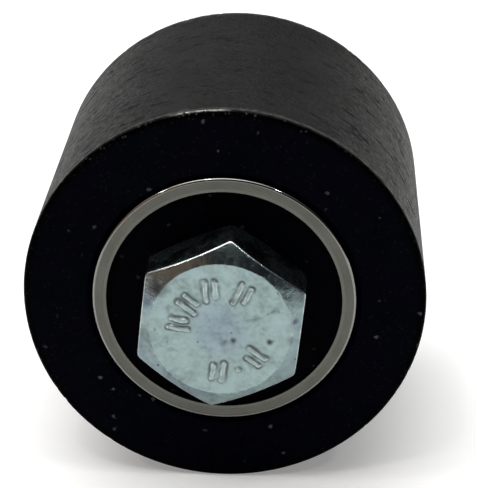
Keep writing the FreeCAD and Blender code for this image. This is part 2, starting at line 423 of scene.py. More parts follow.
# bumps are (height, distance in millimetres), laid one on another
def bumped(tree, *bumps):
    normal = None
    for height, distance in bumps:
        values = {"Height": height, "Distance": distance * mm, "Strength": 1.0}
        if normal is not None:
            values["Normal"] = normal
        normal = put(tree, "ShaderNodeBump", values).outputs[0]
    return normal


def shade(*rgb):
    return (*rgb, 1.0)


treadFinish = {
    "dark": shade(0.0008, 0.0009, 0.0008), "pale": shade(0.0068, 0.0071, 0.0066),
    "pit": shade(0.0004, 0.0004, 0.0004), "dust": shade(0.10, 0.10, 0.095), "edge": shade(0.07, 0.07, 0.067),
    "streak": shade(0.014, 0.014, 0.013), "specular": 0.2, "roughness": (0.32, 0.55), "pitRoughness": 0.35,
    "grainDepth": 0.095, "fineDepth": 0.025, "lineDepth": 0.02, "pitDepth": 2.0,
    # shares of the lines, the clouds and the grain in the tone, and how much the rubbed edge is lightened, as
    # wear and as a painted highlight line along the rim
    "lineShare": 0.2, "cloudShare": 0.35, "grainShare": 0.45, "edgeHighlightShare": 0.7,
    "toneRange": (0.25, 0.75), "streakRange": (0.62, 0.72, 0.0, 0.5), "gougeRange": (0.55, 0.66),
    "roughRange": (0.4, 1.6),
}


def makeTread():
    look = treadFinish
    material, tree, shader = newFinish("rollerTreadPlastic", Specular_IOR_Level=look["specular"])
    lines = effect(tree, "turnedLines", Lines=3.2, Sweep=15.0, Detail=5.0)
    grain = effect(tree, "mottle", Spots_Per_mm=2.6, Contrast=0.24, Detail=6.0, Seed=2.0)["Tone"]
    cloud = effect(tree, "mottle", Spots_Per_mm=0.22, Contrast=0.22, Detail=4.0, Seed=5.0)["Tone"]
    fine = effect(tree, "mottle", Spots_Per_mm=6.5, Contrast=0.3, Detail=4.0, Seed=4.0)["Tone"]
    largePits = effect(tree, "specks", Cells_Per_mm=0.9, Share=0.35, Size=0.3, Seed=3.0)["Specks"]
    smallPits = effect(tree, "specks", Cells_Per_mm=2.4, Share=0.3, Size=0.3, Seed=6.0)["Specks"]
    pits = calc(tree, "MAXIMUM", largePits, smallPits)
    dust = effect(tree, "specks", Cells_Per_mm=1.3, Share=0.06, Size=0.1, Seed=8.0)["Specks"]
    scrape = effect(tree, "turnedLines", Lines=2.2, Sweep=2.5, Detail=3.0, Seed=9.0)["Lines"]
    gouge = effect(tree, "turnedLines", Lines=1.5, Sweep=7.0, Detail=4.0, Seed=14.0)["Lines"]
    gouge = smoothStep(tree, gouge, *look["gougeRange"])
    hollow = calc(tree, "MAXIMUM", pits, gouge)
    # rubbed rim edge, lightened partly as wear and partly as a painted highlight line
    edge = effect(tree, "edgeWearAndPaintedLight", Start=0.03, End=0.2, Breakup=0.6, Seed=6.0)["Wear"]
    tone = mixture(
        tree, (lines["Lines"], look["lineShare"]), (cloud, look["cloudShare"]), (grain, look["grainShare"]),
    )
    colour = blend(tree, smoothStep(tree, tone, *look["toneRange"]), look["dark"], look["pale"])
    colour = blend(tree, smoothStep(tree, scrape, *look["streakRange"]), colour, look["streak"])
    colour = blend(tree, hollow, colour, look["pit"])
    colour = blend(tree, dust, colour, look["dust"])
    colour = blend(tree, calc(tree, "MULTIPLY", edge, look["edgeHighlightShare"]), colour, look["edge"])
    rough = calc(tree, "ADD", grain, lines["Bands"])
    rough = smoothStep(tree, rough, *look["roughRange"], *look["roughness"])
    rough = calc(tree, "ADD", rough, calc(tree, "MULTIPLY", hollow, look["pitRoughness"]))
    height = calc(tree, "SUBTRACT", grain, calc(tree, "MULTIPLY", pits, look["pitDepth"]))
    height = calc(tree, "SUBTRACT", height, gouge)
    normal = bumped(
        tree, (height, look["grainDepth"]), (lines["Lines"], look["lineDepth"]), (fine, look["fineDepth"]),
    )
    feed(tree, shader, Base_Color=colour, Roughness=rough, Normal=normal)
    return material


faceFinish = {
    "dark": shade(0.0001, 0.0003, 0.0022), "pale": shade(0.0002, 0.0013, 0.0030),
    "violet": shade(0.0007, 0.0004, 0.0030), "dust": shade(0.07, 0.075, 0.085),
    # worn is the pale of the rim's painted highlight; rim is the black of the band of painted shade
    "worn": shade(0.42, 0.42, 0.40), "rim": shade(0.0, 0.0, 0.0),
    "specular": 0.012, "roughRange": (0.3, 0.7), "roughness": (0.32, 0.46), "lineDepth": 0.006,
    "grainDepth": 0.008,
    "powderShare": 0.07, "dustShare": 0.9,
    # radii between which the rim's painted highlight line and its black band of painted shade come in
    "rimRadii": (16.62, 16.72), "shadeBandRadii": (16.0, 16.4),
    # where the rim's painted highlight is centred, and how that highlight and the flecks fall off from there
    "glintSpot": (-1.85, -13.3, 16.6), "glintReach": (2.8, 1.2, 0.04, 1.0), "fleckReach": (14.0, 3.0, 0.1, 0.6),
}


def makeFace():
    look = faceFinish
    material, tree, shader = newFinish("rollerFacePlastic", Specular_IOR_Level=look["specular"])
    lines = effect(tree, "turnedLines", Lines=4.0, Sweep=6.0, Detail=4.0, Seed=4.0)
    cloud = effect(tree, "mottle", Spots_Per_mm=0.3, Contrast=0.2, Detail=5.0, Seed=1.0)["Tone"]
    grain = effect(tree, "mottle", Spots_Per_mm=4.0, Contrast=0.3, Detail=4.0, Seed=7.0)["Tone"]
    tinge = effect(tree, "mottle", Spots_Per_mm=0.25, Contrast=0.14, Detail=5.0, Seed=12.0)["Tone"]
    dust = effect(tree, "specks", Cells_Per_mm=0.9, Share=0.18, Size=0.22, Seed=1.0)["Specks"]
    flecks = effect(tree, "specks", Cells_Per_mm=3.0, Share=0.5, Size=0.4, Seed=5.0)["Specks"]
    powder = effect(tree, "specks", Cells_Per_mm=3.2, Share=0.5, Size=0.3, Seed=2.0)["Specks"]
    # painted highlight: a bright worn-looking line on the rim, kept to one spot at the top left
    rim = effect(tree, "edgeWearAndPaintedLight", Start=0.1, End=0.4, Breakup=0.7, Seed=3.0)["Wear"]
    radius = put(tree, "ShaderNodeGroup", node_tree=turnedPlace).outputs["Radius"]
    away = put(tree, "ShaderNodeVectorMath", {0: placeIn(tree), 1: look["glintSpot"]}, operation="DISTANCE")
    away = away.outputs["Value"]
    rim = calc(tree, "MULTIPLY", rim, smoothStep(tree, radius, *look["rimRadii"]))
    rim = calc(tree, "MULTIPLY", rim, smoothStep(tree, away, *look["glintReach"]))
    # painted shade: the face turns black towards the rim; the flecks keep to this band
    shadedRimBand = smoothStep(tree, radius, *look["shadeBandRadii"])
    flecks = calc(tree, "MULTIPLY", flecks, shadedRimBand)
    flecks = calc(tree, "MULTIPLY", flecks, smoothStep(tree, away, *look["fleckReach"]))
    colour = blend(tree, cloud, look["dark"], look["pale"])
    colour = blend(tree, tinge, colour, look["violet"])
    colour = blend(tree, shadedRimBand, colour, look["rim"])
    colour = blend(tree, calc(tree, "MULTIPLY", powder, look["powderShare"]), colour, look["dust"])
    colour = blend(tree, calc(tree, "MULTIPLY", dust, look["dustShare"]), colour, look["dust"])
    colour = blend(tree, flecks, colour, look["dust"])
    colour = blend(tree, rim, colour, look["worn"])
    rough = smoothStep(tree, lines["Bands"], *look["roughRange"], *look["roughness"])
    normal = bumped(tree, (lines["Lines"], look["lineDepth"]), (grain, look["grainDepth"]))
    feed(tree, shader, Base_Color=colour, Roughness=rough, Normal=normal)
    return material


rubberFinish = {
    "dark": shade(0.0001, 0.0002, 0.0008), "pale": shade(0.0005, 0.0008, 0.0020),
    "dust": shade(0.03, 0.03, 0.034), "dustShare": 0.6, "specular": 0.015, "roughness": (0.5, 0.7),
    "grainDepth": 0.01,
}


def makeRubber():
    look = rubberFinish
    material, tree, shader = newFinish("sealRubber", Specular_IOR_Level=look["specular"])
    cloud = effect(tree, "mottle", Spots_Per_mm=0.6, Contrast=0.25, Detail=4.0, Seed=3.0)["Tone"]
    grain = effect(tree, "mottle", Spots_Per_mm=6.0, Contrast=0.3, Detail=3.0, Seed=4.0)["Tone"]
    lines = effect(tree, "turnedLines", Lines=3.0, Sweep=5.0, Detail=3.0, Seed=2.0)
    dust = effect(tree, "specks", Cells_Per_mm=1.5, Share=0.16, Size=0.26, Seed=6.0)["Specks"]
    colour = blend(tree, cloud, look["dark"], look["pale"])
    colour = blend(tree, calc(tree, "MULTIPLY", dust, look["dustShare"]), colour, look["dust"])
    rough = smoothStep(tree, grain, 0.0, 1.0, *look["roughness"])
    normal = bumped(tree, (grain, look["grainDepth"]), (lines["Lines"], look["grainDepth"]))
    feed(tree, shader, Base_Color=colour, Roughness=rough, Normal=normal)
    return material


rubbedPolish = 0.08  # how much smoother rubbed metal is
rustTone = shade(0.05, 0.035, 0.02)
steelRoughRange = (0.3, 0.7)  # of the tool's bands

# tones are dark, pale and rubbed; lines are the tool's lines per millimetre, with their depth
steelLooks = {
    "bearingRingSteel": {
        "tones": ((0.088, 0.088, 0.079), (0.128, 0.128, 0.115), (0.128, 0.128, 0.115)),
        "roughness": (0.24, 0.34), "lines": 11.0, "lineDepth": 0.003, "stain": 0.2,
    },
    # polished corners, their tones also lightened as a painted highlight line
    "ringCornerHighlightSteel": {
        "tones": ((0.15, 0.148, 0.14), (0.22, 0.216, 0.204), (0.30, 0.295, 0.28)),
        "roughness": (0.08, 0.13), "lines": 8.0, "lineDepth": 0.001, "stain": 0.2, "seed": 1.0,
    },
    # painted shade: near-black steel for the rings' mouth walls and chamfers
    "ringMouthShadeSteel": {
        "tones": ((0.008, 0.008, 0.008), (0.02, 0.019, 0.017), (0.03, 0.03, 0.028)),
        "roughness": (0.3, 0.45), "lines": 5.0, "lineDepth": 0.003, "seed": 2.0,
    },
    "innerRingSteel": {
        "tones": ((0.24, 0.235, 0.22), (0.34, 0.33, 0.31), (0.6, 0.58, 0.55)),
        "roughness": (0.22, 0.32), "lines": 12.0, "lineDepth": 0.003, "seed": 3.0,
    },
    "ballSteel": {
        "tones": ((0.60, 0.60, 0.61), (0.70, 0.70, 0.71), (0.75, 0.75, 0.75)),
        "roughness": (0.06, 0.12), "lines": 3.0, "lineDepth": 0.0005, "seed": 5.0,
    },
    "cageSteel": {
        "tones": ((0.38, 0.37, 0.35), (0.50, 0.49, 0.46), (0.65, 0.64, 0.6)),
        "roughness": (0.30, 0.42), "lines": 2.0, "lineDepth": 0.004, "stain": 0.3, "seed": 7.0,
    },
    "rivetSteel": {
        "tones": ((0.42, 0.41, 0.39), (0.55, 0.54, 0.51), (0.7, 0.68, 0.65)),
        "roughness": (0.25, 0.40), "lines": 3.0, "lineDepth": 0.003, "seed": 9.0,
    },
    "sealCoreSteel": {
        "tones": ((0.30, 0.30, 0.30), (0.42, 0.42, 0.41), (0.55, 0.55, 0.54)),
        "roughness": (0.35, 0.50), "lines": 3.0, "lineDepth": 0.004, "stain": 0.3, "seed": 11.0,
    },
    "spacerSteel": {
        "tones": ((0.32, 0.32, 0.31), (0.46, 0.46, 0.45), (0.65, 0.65, 0.64)),
        "roughness": (0.28, 0.42), "lines": 6.0, "lineDepth": 0.008, "seed": 13.0,
    },
}


# ground, turned, pressed or polished steel
def makeSteel(name, tones, roughness, lines, lineDepth, stain=0.0, seed=0.0):
    dark, pale, worn = (shade(*tone) for tone in tones)
    material, tree, shader = newFinish(name, Metallic=1.0)
    tool = effect(tree, "turnedLines", Lines=lines, Sweep=4.0, Detail=5.0, Seed=seed)
    cloud = effect(tree, "mottle", Spots_Per_mm=0.5, Contrast=0.25, Detail=5.0, Seed=seed + 1)["Tone"]
    spots = effect(tree, "specks", Cells_Per_mm=1.2, Share=0.12, Size=0.12, Seed=seed + 2)["Specks"]
    wear = effect(tree, "edgeWearAndPaintedLight", Start=0.15, End=0.9, Breakup=0.35, Seed=seed)["Wear"]
    tone = calc(tree, "MULTIPLY", calc(tree, "ADD", tool["Lines"], cloud), 0.5)
    colour = blend(tree, tone, dark, pale)
    colour = blend(tree, calc(tree, "MULTIPLY", spots, stain), colour, rustTone)
    colour = blend(tree, wear, colour, worn)
    rough = smoothStep(tree, tool["Bands"], *steelRoughRange, *roughness)
    rough = calc(tree, "SUBTRACT", rough, calc(tree, "MULTIPLY", wear, rubbedPolish))
    feed(tree, shader, Base_Color=colour, Roughness=rough, Normal=bumped(tree, (tool["Lines"], lineDepth)))
    return material


zincFinish = {
    "pale": (0.355, 0.475, 0.47), "blue": (0.28, 0.365, 0.42), "dull": (0.13, 0.16, 0.165),
    "stain": (0.036, 0.038, 0.038), "worn": (0.62, 0.66, 0.65),
    "heartRadii": (3.6, 0.6),  # the bluer heart of the head fades out between these
    "pitDepth": 1.5, "fineDepth": 0.012, "gritDepth": 0.004, "roughRange": (0.2, 1.8), "dirtRoughness": 0.12,
}

# what differs from surface to surface; makeZinc holds the usual values
zincLooks = {
    "boltHeadZinc": {"wear": (0.5, 1.5), "tone": 1.03, "heart": 0.75},
    # a tone under 1 is painted shade: the chamfer and the flanks are darker copies of the head's zinc
    "boltChamferZincShaded": {
        "roughness": (0.14, 0.3), "wear": (0.36, 0.56), "pitShare": 0.2, "patches": 0.7, "tone": 0.8,
        "metal": 1.0, "seed": 80.0,
    },
    "boltSideZincShaded": {
        "roughness": (0.16, 0.3), "wear": (0.36, 0.56), "pitShare": 0.2, "patches": 0.75, "tone": 0.6,
        "metal": 1.0, "seed": 90.0,
    },
    "boltThreadZinc": {"roughness": (0.28, 0.45), "pitShare": 0.1, "seed": 20.0},
    "nutZinc": {"seed": 40.0},
    "washerZinc": {"roughness": (0.30, 0.46), "seed": 60.0},
}


# dull zinc plate, cloudy and blueish, with small stained pits, bright worn edges, and dirt with painted shade
# in the corners; tone scales its colours, and under 1 it is painted shade
def makeZinc(name, roughness=(0.34, 0.5), wear=(0.3, 0.9), pitShare=0.16, patches=0.5, tone=1.0, metal=0.92,
             heart=0.0, seed=0.0):
    look = zincFinish
    tones = {key: shade(*(tone * part for part in look[key])) for key in ("pale", "blue", "dull", "stain")}
    material, tree, shader = newFinish(name, Metallic=metal)
    cloud = effect(tree, "mottle", Spots_Per_mm=0.35, Contrast=0.16, Detail=4.0, Seed=seed)["Tone"]
    fine = effect(tree, "mottle", Spots_Per_mm=2.6, Contrast=0.26, Detail=7.0, Seed=seed + 3)["Tone"]
    dullness = effect(tree, "mottle", Spots_Per_mm=0.8, Contrast=0.14, Detail=6.0, Seed=seed + 9)["Tone"]
    grit = effect(tree, "mottle", Spots_Per_mm=7.0, Contrast=0.3, Detail=3.0, Seed=seed + 5)["Tone"]
    pits = effect(tree, "specks", Cells_Per_mm=1.0, Share=pitShare, Size=0.2, Seed=seed + 1)["Specks"]
    edges = effect(tree, "edgeWearAndPaintedLight", Start=wear[0], End=wear[1], Breakup=0.6, Seed=seed)
    radius = put(tree, "ShaderNodeGroup", node_tree=turnedPlace).outputs["Radius"]
    middle = calc(tree, "MULTIPLY", smoothStep(tree, radius, *look["heartRadii"]), heart)
    paleShare = calc(tree, "SUBTRACT", smoothStep(tree, cloud, 0.0, 1.0, heart, 1.0), middle, clamp=True)
    dullShare = calc(tree, "MULTIPLY", calc(tree, "MULTIPLY", dullness, fine), patches)
    colour = blend(tree, paleShare, tones["blue"], tones["pale"])
    colour = blend(tree, dullShare, colour, tones["dull"])
    # pits, and corners darkened with dirt and painted shade
    colour = blend(tree, calc(tree, "MAXIMUM", pits, edges["Crevice"]), colour, tones["stain"])
    colour = blend(tree, edges["Wear"], colour, shade(*look["worn"]))
    rough = smoothStep(tree, calc(tree, "ADD", fine, cloud), *look["roughRange"], *roughness)
    rough = calc(tree, "SUBTRACT", rough, calc(tree, "MULTIPLY", edges["Wear"], rubbedPolish))
    rough = calc(tree, "ADD", rough, calc(tree, "MULTIPLY", edges["Crevice"], look["dirtRoughness"]))
    height = calc(tree, "SUBTRACT", fine, calc(tree, "MULTIPLY", pits, look["pitDepth"]))
    normal = bumped(tree, (height, look["fineDepth"]), (grit, look["gritDepth"]))
    feed(tree, shader, Base_Color=colour, Roughness=rough, Normal=normal)
    return material


print("finishes")
treadPlastic = makeTread()
facePlastic = makeFace()
rubber = makeRubber()
steel = {name: makeSteel(name, **look) for name, look in steelLooks.items()}
zinc = {name: makeZinc(name, **look) for name, look in zincLooks.items()}


rollerLook = {
    "around": 540, "rimRound": 0.4, "seatLeadIn": 0.45, "leadRound": 0.08, "seat": 11.0,
    "shoulder": 9.25, "shoulderRound": 0.1, "arcSteps": 8, "longestRun": 0.5, "treadMargin": 0.03,
    # small nicks along the rims: depth, reach, how many, the noise they start at and how fast they deepen
    "nickDepth": 0.09, "nickReach": 0.55, "nicksAround": 34, "nicksAlong": 0.4, "nickFrom": 0.28,
    "nickGain": 2.2,
    # the outer skin's waver: its depth, how fine its two waves are and the shorter one's share
    "waver": 0.012, "waverShare": 0.4, "longWave": 0.35, "shortWave": 1.3, "shortShare": 0.3,
}


def makeRoller():
    look = rollerLook
    high = boxOf("roller")[1]
    stop = boxOf("inner_spacer")[1].y
    rim, end, lead, seat = high.x, high.y, look["seatLeadIn"], look["seat"]
    section = softened([
        (rim, -end, look["rimRound"]), (rim, end, look["rimRound"]),
        (seat + lead, end, look["leadRound"]), (seat, end - lead), (seat, stop),
        (look["shoulder"], stop, look["shoulderRound"]), (look["shoulder"], -stop, look["shoulderRound"]),
        (seat, -stop), (seat, lead - end), (seat + lead, -end, look["leadRound"]),
    ], steps=look["arcSteps"])
    skin = Skin()
    treadStart = rim - look["treadMargin"]
    skin.addLoops(
        loopsOf(divided(section, look["longestRun"]), look["around"]),
        finishOf=lambda a, b: 0 if min(a.x, b.x) > treadStart else 1, closed=True,
    )

    # nicks along the rims and a faint waver over the outer skin; the bearing seats stay true
    def worn(p):
        out = Vector((p.x, 0, p.z))
        radius = out.length
        if radius <= seat + lead:
            return p
        out.normalize()
        wave = noise.noise(p * look["longWave"]) * look["waver"]
        wave += noise.noise(p * look["shortWave"]) * look["shortShare"] * look["waver"]
        nearRim = max(0.0, 1 - (Vector((radius - rim, end - abs(p.y)))).length / look["nickReach"])
        around, along = look["nicksAround"], look["nicksAlong"]
        chip = noise.noise(Vector((out.x * around, p.y * along, out.z * around)))
        chip = max(0.0, chip - look["nickFrom"]) * look["nickGain"] * nearRim * look["nickDepth"]
        inward = out * -1 + Vector((0, -math.copysign(1, p.y), 0))
        sway = out * wave * look["waverShare"] - out * look["waverShare"] * look["waver"]
        return p + sway + inward * chip

    made = skin.make("rollerBody", shift=worn)
    made.data.materials.append(treadPlastic)
    made.data.materials.append(facePlastic)
    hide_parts("roller")
    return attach(made, "roller")


ringLook = {
    "around": 360, "corner": 0.24, "mouth": 9.75, "mouthChamfer": 0.06, "groove": 10.0,
    "grooveStart": 2.7, "grooveEnd": 3.1, "neck": 3.225, "land": 8.9545,
    "raceCentre": 7.4306, "raceRadius": 2.0639, "raceSteps": 14, "arcSteps": 7, "longestRun": 0.4,
    "finishMargin": 0.01,
}


# the section runs round the race, one side with its seal groove, the rim and the other side
def makeOuterRing(name):
    look = ringLook
    low, high = boxOf(name)
    middle, half, rim = (low.y + high.y) / 2, (high.y - low.y) / 2, round(high.x, 2)
    side = [
        (look["land"], look["grooveStart"]), (look["groove"], look["grooveStart"]),
        (look["groove"], look["grooveEnd"]), (look["mouth"], look["neck"]),
        (look["mouth"], half - look["mouthChamfer"]), (look["mouth"] + look["mouthChamfer"], half),
        (rim, half, look["corner"]),
    ]
    spread = math.acos((look["land"] - look["raceCentre"]) / look["raceRadius"])
    race = []
    for step in range(look["raceSteps"] + 1):
        angle = spread * (2 * step / look["raceSteps"] - 1)
        out, along = look["raceRadius"] * math.cos(angle), look["raceRadius"] * math.sin(angle)
        race.append((look["raceCentre"] + out, along))
    corners = race + side + [(corner[0], -corner[1], *corner[2:]) for corner in reversed(side)]
    section = [Vector((p.x, p.y + middle)) for p in softened(corners, steps=look["arcSteps"])]
    skin = Skin()
    wall = look["mouth"] + look["mouthChamfer"] + look["finishMargin"]
    cornerStart = rim - look["corner"] - look["finishMargin"]

    # the mouth wall and chamfer are near-black as painted shade, the rounded corners are polished and
    # lightened as a painted highlight, and the rest is ground
    def finishOf(a, b):
        if max(a.x, b.x) < wall and abs(a.y - middle) > look["grooveEnd"]:
            return 1
        return 2 if min(a.x, b.x) > cornerStart else 0

    loops = loopsOf(divided(section, look["longestRun"]), look["around"])
    skin.addLoops(loops, closed=True, finishOf=finishOf)
    made = skin.make(name + "Ground")
    for finish in ("bearingRingSteel", "ringMouthShadeSteel", "ringCornerHighlightSteel"):
        made.data.materials.append(steel[finish])
    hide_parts(name)
    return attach(made, "roller")


sealLook = {
    "around": 288, "coreBore": 6.7255, "lipFace": 0.63, "coreFace": 0.25, "coreBack": 0.55,
    "mouth": 9.75, "groove": 10.0, "grooveEnd": 0.15, "neck": 0.025,
    "beadIn": 9.35, "beadSlope": 0.12, "beadFloor": 0.25, "beadFoot": 0.4, "beadDip": 0.09,
    "dishIn": 6.95, "dishSlope": 0.3, "dishDip": 0.06, "lip": 6.0755, "lipWidth": 0.35, "lipFall": 0.12,
    "edgeRound": 0.05, "beadRound": 0.06, "softRound": 0.1, "dishRound": 0.2,
    "arcSteps": 4, "longestRun": 0.4,
}


# depths are measured inwards from the seal's outer face; outward is -1 at the front and 1 at the rear
def makeSeal(name, outward):
    look = sealLook
    low, high = boxOf(name)
    face = high.y if outward > 0 else low.y
    lip, bead, dish, back = look["lip"], look["beadIn"], look["dishIn"], look["coreBack"]
    edge, crisp, soft = look["edgeRound"], look["beadRound"], look["softRound"]
    depths = [
        (lip, look["lipFace"]), (look["coreBore"], look["lipFace"]), (look["coreBore"], look["coreFace"]),
        (look["mouth"], look["coreFace"]), (look["mouth"], back), (look["groove"], back),
        (look["groove"], look["grooveEnd"]), (look["mouth"], look["neck"]), (look["mouth"], 0.0, edge),
        (bead + look["beadSlope"], 0.0, crisp), (bead, look["beadDip"], crisp),
        (bead - look["beadFloor"], look["beadDip"], crisp), (bead - look["beadFoot"], look["dishDip"], soft),
        (dish + look["dishSlope"], look["dishDip"], look["dishRound"]), (dish, 0.0, soft),
        (lip + look["lipWidth"], 0.0, soft), (lip, look["lipFall"], edge),
    ]
    corners = [(corner[0], face - outward * corner[1], *corner[2:]) for corner in depths]
    section = divided(softened(corners, steps=look["arcSteps"]), look["longestRun"])
    skin = Skin()
    skin.addLoops(loopsOf(section, look["around"]), closed=True)
    made = skin.make(name + "Moulded")
    made.data.materials.append(rubber)
    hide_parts(name)
    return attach(made, "roller")


threadLook = {
    "pitch": 1.25, "phase": 0.35, "around": 96, "shank": 3.985, "crest": 3.96, "root": 3.2, "runOut": 1.3,
    "endChamfer": 0.9, "tipStep": 0.12, "start": 14.5, "clearance": 0.03,
    # as shares of the pitch: half the crest's flat, and where the root begins
    "crestShare": 0.0625, "rootShare": 0.375, "flankSoft": 0.25,
    # heights of the rows of points within one pitch
    "samples": (0.0, 0.0625, 0.10, 0.235, 0.37, 0.44, 0.5, 0.56, 0.63, 0.765, 0.90, 0.9375),
}


# how far the groove is cut at a turn and a height, from 0 at the crest to 1 at the root
def threadCut(turn, y):
    look = threadLook
    u = ((y - look["phase"]) / look["pitch"] + turn / fullTurn) % 1.0
    u = min(u, 1 - u)
    straight = min(max((u - look["crestShare"]) / (look["rootShare"] - look["crestShare"]), 0.0), 1.0)
    return (1 - look["flankSoft"]) * straight + look["flankSoft"] * eased(straight)


headLook = {
    "around": 384, "flats": 13.0, "disc": 5.8, "underside": 6.35, "slope": 30.0, "turn": 23.6,
    "cornerSoft": 70, "rounds": (0.24, 0.22, 0.1), "washerFace": 5.8, "washerFaceHeight": 0.4, "rings": 96,
    "chamferRows": 8, "hammered": 0.05,
    "washerFaceLap": 0.05, "washerFaceRounds": (0.04, 0.08), "shankRing": 0.3, "shankRound": 0.05,
    "shankSteps": 4, "discMargin": 0.05,
    # a mark's second bar is cut by "shorter" at one end, and by endShare of that at the other
    "markHeight": 0.15, "markWidth": 0.1, "markEdge": 0.2, "pairGap": 0.8, "shorter": 0.2, "endShare": 0.3,
    # how unsteady the marks are: place in millimetres, width and height as shares
    "uneven": 0.07, "widthSway": 0.45, "usualRise": 0.85, "riseSway": 0.7,
    # the dark line at the marks' feet, dirt and painted shade: its reach, its strength, and how deep into the
    # head it is kept
    "dirtAndShadeReach": 0.18, "dirtAndShadeStrength": 0.8, "dirtAndShadeDepth": 2,
    # the dark lines of dirt and painted shade at the marks' feet come and go: sway, usual strength and least
    # strength
    "lineSway": 1.6, "lineUsual": 0.62, "lineLeast": 0.12, "stainSway": 0.7,
    # how deep and how far past the disc the relief reaches, and where it fades out
    "reliefDepth": 1.2, "reliefReach": 1.6, "fadeStart": 0.5, "fadeWidth": 1.8,
    # raised bars: (turn in degrees, middle radius, length, lean in degrees)
    "bars": ((172, 3.35, 1.5, -4), (138, 3.35, 1.6, 4), (103, 3.5, 1.7, -8), (60, 3.6, 1.7, 5),
             (-93, 3.75, 1.5, -6), (-41, 3.7, 1.5, 6)),
    # raised dots: (turn, radius, dot's radius)
    "dots": ((-68, 3.85, 0.2),),
    # pits: (x, z, radius, depth)
    "pits": ((4.0, -0.96, 0.3, 0.08), (1.03, -0.86, 0.28, 0.06), (0.45, -1.0, 0.16, 0.04),
             (-1.8, -1.1, 0.15, 0.05), (-4.3, -1.2, 0.13, 0.05), (-3.1, -4.4, 0.2, 0.06),
             (0.9, -0.2, 0.14, 0.03), (-3.7, -4.2, 0.15, 0.04)),
    # dirty patches: (x, z, radius, strength)
    "stains": ((-5.05, 3.49, 1.3, 0.75), (-5.9, 2.3, 0.8, 0.4), (0.47, 6.5, 0.9, 0.6),
               (6.03, 0.79, 0.4, 0.7), (5.69, -0.8, 0.5, 0.45), (-3.15, -4.49, 0.4, 0.7),
               (-4.12, -4.05, 0.4, 0.4), (4.84, -4.37, 0.4, 0.2), (6.37, 2.69, 0.9, 0.45),
               (1.02, -0.92, 0.44, 0.8), (0.3, -1.15, 0.45, 0.5), (4.0, -1.0, 0.42, 0.85),
               (3.9, 5.0, 0.7, 0.3), (-6.5, -0.9, 1.9, 0.32), (0.4, -1.9, 0.5, 0.25),
               (2.9, 1.1, 0.5, 0.3), (4.4, 1.8, 0.4, 0.35)),
    # scratches: from (x, z) to (x, z), half width, depth
    "scratches": ((2.2, 0.9, 3.6, 1.35, 0.14, 0.014), (3.9, 1.5, 4.7, 2.0, 0.16, 0.02),
                  (-4.9, -2.6, -3.6, -3.9, 0.14, 0.014)),
}


# distance from a point to a stretch between two points, in the head's plane
def toStretch(x, z, ax, az, bx, bz):
    px, pz, dx, dz = x - ax, z - az, bx - ax, bz - az
    share = min(max((px * dx + pz * dz) / (dx * dx + dz * dz), 0.0), 1.0)
    return math.hypot(px - dx * share, pz - dz * share)


def eased(value):
    value = min(max(value, 0.0), 1.0)
    return value * value * (3 - 2 * value)


# both ends of a bar, as x, z, x, z
def barEnds(turn, middle, length, lean):
    a = math.radians(turn)
    b = a + math.radians(lean)
    cx, cz = middle * math.cos(a), middle * math.sin(a)
    dx, dz = math.cos(b) * length / 2, math.sin(b) * length / 2
    return cx - dx, cz - dz, cx + dx, cz + dz


# each mark is a long bar with a shorter one beside it
def barPair(turn, middle, length, lean):
    ax, az, bx, bz = barEnds(turn, middle, length, lean)
    side = Vector((az - bz, bx - ax)).normalized() * headLook["pairGap"] / 2
    cx, cz = (bx - ax) * headLook["shorter"], (bz - az) * headLook["shorter"]
    share = headLook["endShare"]
    return [(ax + side.x, az + side.y, bx + side.x, bz + side.y),
            (ax - side.x + cx, az - side.y + cz, bx - side.x - cx * share, bz - side.y - cz * share)]


headBars = [bar for mark in headLook["bars"] for bar in barPair(*mark)]


# a smooth random value between -1 and 1 at a point seen along the bolt; each use has its own seed
def ripple(x, z, fineness, seed):
    return noise.noise(Vector((x * fineness, seed, z * fineness)))


# a point moved a little, so that the marks aren't quite straight
def wandered(x, z):
    uneven = headLook["uneven"]
    return x + ripple(x, z, 1.1, 4.0) * uneven, z + ripple(x, z, 1.1, 9.0) * uneven


# how far the head's face stands out at a point: bars and dots up, pits and scratches down
def headRelief(x, z):
    look = headLook
    x, z = wandered(x, z)
    rise = 0.0
    width = look["markWidth"] * (1 + look["widthSway"] * ripple(x, z, 2.3, 21.0))
    for bar in headBars:
        rise = max(rise, 1 - eased((toStretch(x, z, *bar) - width) / look["markEdge"]))
    rise *= look["usualRise"] + look["riseSway"] * ripple(x, z, 1.5, 27.0)
    for turn, radius, size in look["dots"]:
        a = math.radians(turn)
        far = math.hypot(x - radius * math.cos(a), z - radius * math.sin(a))
        rise = max(rise, 1 - eased((far - size + look["markEdge"] / 2) / look["markEdge"]))
    height = rise * look["markHeight"]
    for px, pz, size, depth in look["pits"]:
        height -= depth * (1 - eased(math.hypot(x - px, z - pz) / size))
    for ax, az, bx, bz, size, depth in look["scratches"]:
        height -= depth * (1 - eased(toStretch(x, z, ax, az, bx, bz) / size))
    rough = ripple(x, z, 0.8, 0.5) + 0.5 * ripple(x, z, 2.4, 1.5)
    return height + rough * look["hammered"] - look["hammered"]


